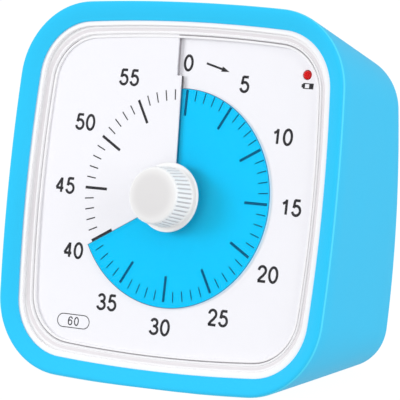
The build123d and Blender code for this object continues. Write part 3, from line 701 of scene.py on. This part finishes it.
def make_slit_wall():
    """The wall that closes the slit's outer end, beyond the disc, below the raised edge."""
    thickness = 0.3
    raised_z = screw_pitch - dial_thickness
    points = []
    for y in (slit_jog_y, dial_half):
        for left in (slit_jog + thickness, slit_jog):
            for z in (-overlap, raised_z + overlap):
                x = -left * math.cos(slit_angle) + y * math.sin(slit_angle)
                points.append(to_world(x, y * math.cos(slit_angle) + left * math.sin(slit_angle), z))
    faces = [(0, 1, 3, 2), (4, 6, 7, 5), (0, 4, 5, 1), (2, 3, 7, 6), (0, 2, 6, 4), (1, 5, 7, 3)]
    mesh = mesh_from("slit_wall", points, faces)
    # the wall is painted dark grey, as painted shade, so that the step along the slit shows as a thin dark
    # line
    mesh.materials.append(groove_shade_grey)
    wall = add_object("slit_end_wall", mesh)
    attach(wall, "case")


def strip_faces(base, count):
    """Faces of a closed strip whose points run along its left edge, then its right, low and high in turn."""
    faces = []
    for k in range(count - 1):
        low_left, top_left = base + 2 * k, base + 2 * k + 1
        low_right, top_right = base + 2 * (count + k), base + 2 * (count + k) + 1
        faces.append((top_left, top_left + 2, top_right + 2, top_right))
        faces.append((low_left, low_right, low_right + 2, low_left + 2))
        faces.append((low_left, low_left + 2, top_left + 2, top_left))
        faces.append((low_right, top_right, top_right + 2, low_right + 2))
    last = 2 * (count - 1)
    other = 2 * count
    faces.append((base, base + 1, base + other + 1, base + other))
    faces.append((base + last, base + other + last, base + other + last + 1, base + last + 1))
    return faces


def make_film_line():
    """A thin dark line of painted shade along the film's cut edge, round its rim and along its leading end.
    """
    width = 0.14
    height = 0.015
    hub_gap = 0.1
    steps = 180
    set_angle = 2 * math.pi * minutes_set / 60
    points = []
    faces = []

    def add_strip(left, right_edge):
        base = len(points)
        for radius, angle in left + right_edge:
            x, y = radius * math.sin(angle), radius * math.cos(angle)
            top = film_gap + film_thickness + screw_pitch * (angle - slit_angle) / (2 * math.pi)
            points.append(to_world(x, y, top - overlap))
            points.append(to_world(x, y, top + height))
        faces.extend(strip_faces(base, len(left)))

    sweep = [set_angle - 2 * math.pi * (1 - step / steps) for step in range(steps + 1)]
    add_strip([(film_radius, angle) for angle in sweep], [(film_radius - width, angle) for angle in sweep])
    inner = hub_radius + hub_gap
    outer = film_radius - width
    add_strip([(inner, set_angle), (outer, set_angle)],
              [(inner, set_angle - width / inner), (outer, set_angle - width / outer)])
    mesh = mesh_from("film_rim_shade_line", points, faces)
    # the line is painted dark, as painted shade at the film's edge
    mesh.materials.append(film_rim_shade)
    line = add_object("film_rim_shade_line", mesh)
    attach(line, "disc")


# ---- Print on the dial

def printed(x, y):
    """From the print's own frame to the dial's."""
    turned_x = x * math.cos(print_turn) + y * math.sin(print_turn)
    turned_y = y * math.cos(print_turn) - x * math.sin(print_turn)
    return turned_x, turned_y + print_lift


def print_on_dial(name, strips):
    """Thin marks, each a closed strip between a left and a right edge of equally many points."""
    points = []
    faces = []
    for left, right_edge in strips:
        base = len(points)
        for mark_x, mark_y in left + right_edge:
            x, y = printed(mark_x, mark_y)
            points.append(to_world(x, y, dial_height(x, y) - overlap))
            points.append(to_world(x, y, dial_height(x, y) + print_height))
        faces += strip_faces(base, len(left))
    mesh = mesh_from(name, points, faces)
    mesh.materials.append(dial_ink)
    piece = add_object(name, mesh)
    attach(piece, "case")


def along(points, width):
    """The two edges of a stroke along a line of points."""
    left = []
    right_edge = []
    for k, (x, y) in enumerate(points):
        before = Vector(points[max(k - 1, 0)])
        after = Vector(points[min(k + 1, len(points) - 1)])
        if points[0] == points[-1] and k in (0, len(points) - 1):
            before, after = Vector(points[-2]), Vector(points[1])
        direction = (after - before).normalized()
        side = Vector((-direction.y, direction.x)) * width / 2
        left.append((x + side.x, y + side.y))
        right_edge.append((x - side.x, y - side.y))
    return left, right_edge


def arc(centre_x, centre_y, radius_x, radius_y, start, end, steps=14):
    """Points on an ellipse, from start to end in degrees, counter-clockwise from the right."""
    points = []
    for step in range(steps + 1):
        angle = math.radians(start + (end - start) * step / steps)
        points.append((centre_x + radius_x * math.cos(angle), centre_y + radius_y * math.sin(angle)))
    return points


# each digit's strokes, in a box one unit wide and one unit high
digit_strokes = {
    "0": [arc(0.5, 0.5, 0.5, 0.5, 90, 450, 32)],
    "1": [[(0.62, 0.0), (0.62, 1.0)], [(0.66, 0.97), (0.5, 0.83), (0.14, 0.71)]],
    "2": [arc(0.49, 0.72, 0.45, 0.28, 178, -32, 16) + [(0.66, 0.4), (0.28, 0.19), (0.07, 0.0)],
          [(0.0, 0.0), (1.0, 0.0)]],
    "3": [arc(0.47, 0.765, 0.4, 0.235, 165, -90, 16),
          arc(0.47, 0.265, 0.5, 0.265, 90, -168, 18), [(0.34, 0.53), (0.5, 0.53)]],
    "4": [[(0.72, 0.0), (0.72, 1.0)], [(0.72, 0.97), (0.03, 0.3)], [(0.0, 0.28), (1.0, 0.28)]],
    "5": [[(0.2, 1.0), (0.92, 1.0)], [(0.24, 1.02), (0.12, 0.49)],
          [(0.12, 0.5)] + arc(0.47, 0.32, 0.5, 0.32, 125, -165, 20)],
    "6": [arc(0.5, 0.3, 0.47, 0.3, 0, 360, 28),
          arc(0.56, 0.53, 0.53, 0.47, 30, 90, 8) + arc(0.56, 0.45, 0.53, 0.55, 95, 195, 14)],
}


def number_strips(text, centre_x, centre_y, height, width, gap, stroke):
    """Strokes of a number, centred on a point and upright."""
    total = len(text) * width + (len(text) - 1) * gap
    strips = []
    for index, digit in enumerate(text):
        left_x = centre_x - total / 2 + index * (width + gap)
        low_y = centre_y - (height - stroke) / 2
        for path in digit_strokes[digit]:
            points = [(left_x + x * width, low_y + y * (height - stroke)) for x, y in path]
            strips.append(along(points, stroke))
    return strips


def make_numbers():
    strips = []
    for minute, (shift_x, shift_y) in number_shifts.items():
        angle = math.radians(6 * minute)
        x = number_radius * math.sin(angle) + shift_x
        y = number_radius * math.cos(angle) + shift_y
        strips += number_strips(str(minute), x, y, number_height, digit_width, digit_gap, stroke_width)
    print_on_dial("minute_numbers", strips)


def make_ticks():
    strips = []
    for minute in range(60):
        major = minute % 5 == 0
        width = major_width if major else minor_width
        inner = major_inner if major else minor_inner
        angle = math.radians(6 * minute)
        outward = Vector((math.sin(angle), math.cos(angle)))
        strips.append(along([tuple(outward * inner), tuple(outward * tick_outer)], width))
    print_on_dial("minute_marks", strips)


def make_arrow():
    start = Vector((4.4, 30.9))
    tip = Vector((10.7, 29.3))
    line = 0.48
    head_length = 2.1
    head_half = 0.625
    tuck = 0.3                   # of the shaft into the head
    direction = (tip - start).normalized()
    across = Vector((-direction.y, direction.x))
    neck = tip - direction * head_length
    shaft = along([tuple(start), tuple(neck + direction * tuck)], line)
    blunt = across * overlap
    head = ([tuple(neck + across * head_half), tuple(tip)],
            [tuple(neck - across * head_half), tuple(tip - blunt)])
    print_on_dial("direction_arrow", [shaft, head])


def make_battery_mark():
    middle_x = 31.75
    middle_y = 27.35
    width = 2.7
    height = 1.3
    line = 0.2
    end_bar = 0.5
    nub_length = 0.35
    nub_height = 0.75
    empty_past_middle = 0.25     # the left part of the cell is empty, to just past its middle
    left = middle_x - width / 2
    empty_right = middle_x + empty_past_middle
    low = middle_y - height / 2
    high = middle_y + height / 2
    print_on_dial("battery_mark", [
        along([(left, middle_y), (left - nub_length, middle_y)], nub_height),
        along([(left, high - line / 2), (empty_right, high - line / 2)], line),
        along([(left, low + line / 2), (empty_right, low + line / 2)], line),
        along([(left + end_bar / 2, low), (left + end_bar / 2, high)], end_bar),
        along([(empty_right, middle_y), (middle_x + width / 2, middle_y)], height),
    ])


def make_capsule():
    middle_x = -23.95
    middle_y = -31.4
    width = 8.9
    height = 3.1
    line = 0.19
    figure_height = 2.1
    figure_width = 1.05
    figure_gap = 0.7
    figure_stroke = 0.26
    radius = height / 2
    reach = width / 2 - radius
    outline = arc(middle_x + reach, middle_y, radius, radius, -90, 90)
    outline += arc(middle_x - reach, middle_y, radius, radius, 90, 270)
    outline.append(outline[0])
    figures = number_strips("60", middle_x, middle_y, figure_height, figure_width, figure_gap, figure_stroke)
    print_on_dial("capsule_mark", [along(outline, line)] + figures)


# ---- Stage: a plain white floor and soft light

def plain_glow(name, strength, albedo):
    material, _, _, shader = new_material(name)
    shader.inputs["Base Color"].default_value = (albedo, albedo, albedo, 1)
    shader.inputs["Roughness"].default_value = 0.9
    shader.inputs["Specular IOR Level"].default_value = 0.0
    shader.inputs["Emission Color"].default_value = (1, 1, 1, 1)
    shader.inputs["Emission Strength"].default_value = strength
    return material


def make_stage():
    size = 3.0
    floor_mesh = mesh_from("floor", [(-size, -size, 0), (size, -size, 0), (size, size, 0), (-size, size, 0)],
                           [(0, 1, 2, 3)])
    floor_mesh.materials.append(plain_glow("floor white", 0.97, 0.08))
    floor = add_object("studio_floor", floor_mesh)
    work = bmesh.new()
    bmesh.ops.create_icosphere(work, subdivisions=4, radius=size)
    dome_mesh = bpy.data.meshes.new("dome")
    work.to_mesh(dome_mesh)
    work.free()
    dome_mesh.materials.append(plain_glow("dome white", 1.1, 0.0))
    dome = add_object("studio_dome", dome_mesh)
    # the camera sees both, and neither lights the part nor shows in its gloss
    for backdrop in (floor, dome):
        backdrop.visible_diffuse = False
        backdrop.visible_glossy = False
    dome.visible_transmission = False
    dome.visible_shadow = False


def area_light(name, place, target, width, power, mirrored=True):
    """A square lamp, in metres and watts. mirrored says whether glossy faces show it."""
    light =bpy.data.lights.new(name, "AREA")
    light.shape = "SQUARE"
    light.size = width
    light.energy = power
    lamp = bpy.data.objects.new(name, light)
    bpy.context.scene.collection.objects.link(lamp)
    lamp.location = place
    lamp.rotation_euler = (Vector(target) - Vector(place)).to_track_quat("-Z", "Y").to_euler()
    lamp.visible_glossy = mirrored


def make_lights():
    middle = (0, 0, 0.045)
    area_light("key", (-0.8, -0.85, 0.35), middle, 0.45, 7.0, mirrored=False)
    area_light("right_fill", (1.0, -0.25, 0.35), middle, 0.7, 5.0)
    world = bpy.data.worlds.new("studio")
    world.use_nodes = True
    background = world.node_tree.nodes["Background"]
    background.inputs["Color"].default_value = (1, 1, 1, 1)
    background.inputs["Strength"].default_value = 0.68
    bpy.context.scene.world = world


def make_camera():
    """Places the camera by its turn against the dial and by where the print's middle lies before it."""
    focal_pixels = 3013.7
    frame_pixels = 400
    sensor = 36.0
    pitch = math.radians(-1.4725)
    yaw = math.radians(-31.827)
    roll = math.radians(-5.549)
    print_middle = Vector((-5.485, 0.926, -691.392))
    turn = Matrix.Rotation(roll, 3, "Z") @ Matrix.Rotation(pitch, 3, "X") @ Matrix.Rotation(yaw, 3, "Y")
    place = Vector((0, print_lift, 0)) - turn.transposed() @ print_middle
    camera = bpy.data.objects.new("camera", bpy.data.cameras.new("camera"))
    bpy.context.scene.collection.objects.link(camera)
    camera.data.sensor_width = sensor
    camera.data.lens = focal_pixels * sensor / frame_pixels
    camera.data.clip_start = 0.01
    camera.data.clip_end = 20.0
    facing = (dial_turn @ turn.transposed()).to_4x4()
    camera.matrix_world = Matrix.Translation(to_world(*place)) @ facing
    bpy.context.scene.camera = camera


dress_nodes()
make_sleeve()
make_bezel()
make_knob()
make_slit_wall()
make_numbers()
make_ticks()
make_film_line()
make_arrow()
make_battery_mark()
make_capsule()
make_stage()
make_lights()
make_camera()
bpy.context.scene.view_settings.view_transform = "Standard"
